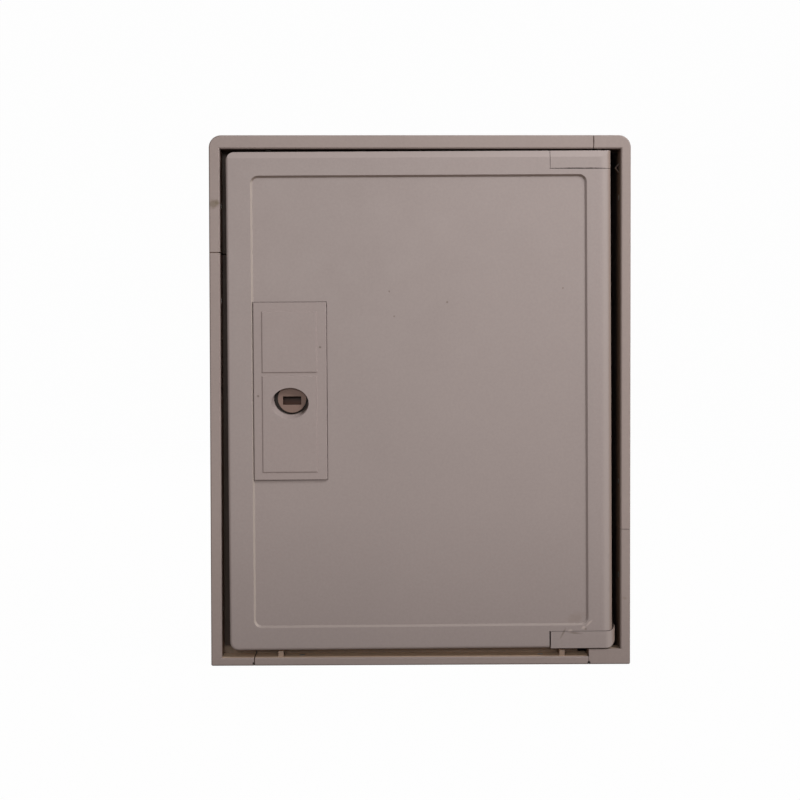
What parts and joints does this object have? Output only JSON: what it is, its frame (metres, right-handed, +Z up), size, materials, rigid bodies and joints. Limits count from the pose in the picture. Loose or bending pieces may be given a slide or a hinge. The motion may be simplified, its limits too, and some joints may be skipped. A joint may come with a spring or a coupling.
{
  "type": "gas meter box",
  "caption": "Wall-mounted plastic gas meter box with a segmented front rim, a hinged door with a recessed panel, and a key lock on an inset plate.",
  "frame": {"origin": "centre of the four wall fixing holes, on the back face that meets the wall", "axes": "+Z up, +X to the right seen from the front, +Y into the wall; the door faces -Y"},
  "size_m": [0.4, 0.2124, 0.504],
  "materials": {
    "taupe_plastic": "fine moulded texture, taupe grey-brown",
    "plug_plastic": "moulded, slightly warmer taupe",
    "zinc_steel": "zinc plated",
    "galvanised_sheet": "galvanised sheet",
    "black_rubber": "moulded rubber"
  },
  "bodies": {
    "box": {"back_box": "taupe_plastic", "rim_top_left": "taupe_plastic", "rim_top_right": "taupe_plastic", "rim_bottom_right": "taupe_plastic", "rim_bottom": "taupe_plastic", "rim_bottom_left": "taupe_plastic", "rim_screws": "zinc_steel", "meter_bracket": "galvanised_sheet", "bracket_screws": "zinc_steel", "pipe_gland": "black_rubber"},
    "door": {"door_panel": "taupe_plastic", "lock_plate": "taupe_plastic", "lock_plate_screws": "zinc_steel", "upper_hinge_block": "taupe_plastic", "lower_hinge_block": "taupe_plastic", "hinge_block_screws": "zinc_steel", "upper_hinge_pin": "zinc_steel", "lower_hinge_pin": "zinc_steel"},
    "lock": {"lock_plug": "plug_plastic", "latch_cam": "galvanised_sheet", "cam_washer": "zinc_steel", "cam_screw": "zinc_steel"}
  },
  "joints": [
    {"name": "door_hinge", "type": "hinge", "parent": "box", "child": "door", "pos_m": [0.1707, -0.198, 0], "axis": [0, 0, 1], "range_deg": [0, 105]},
    {"name": "lock_turn", "type": "hinge", "parent": "door", "child": "lock", "pos_m": [-0.12226, -0.1793, 0.00275], "axis": [0, 1, 0], "range_deg": [0, 90]}
  ]
}
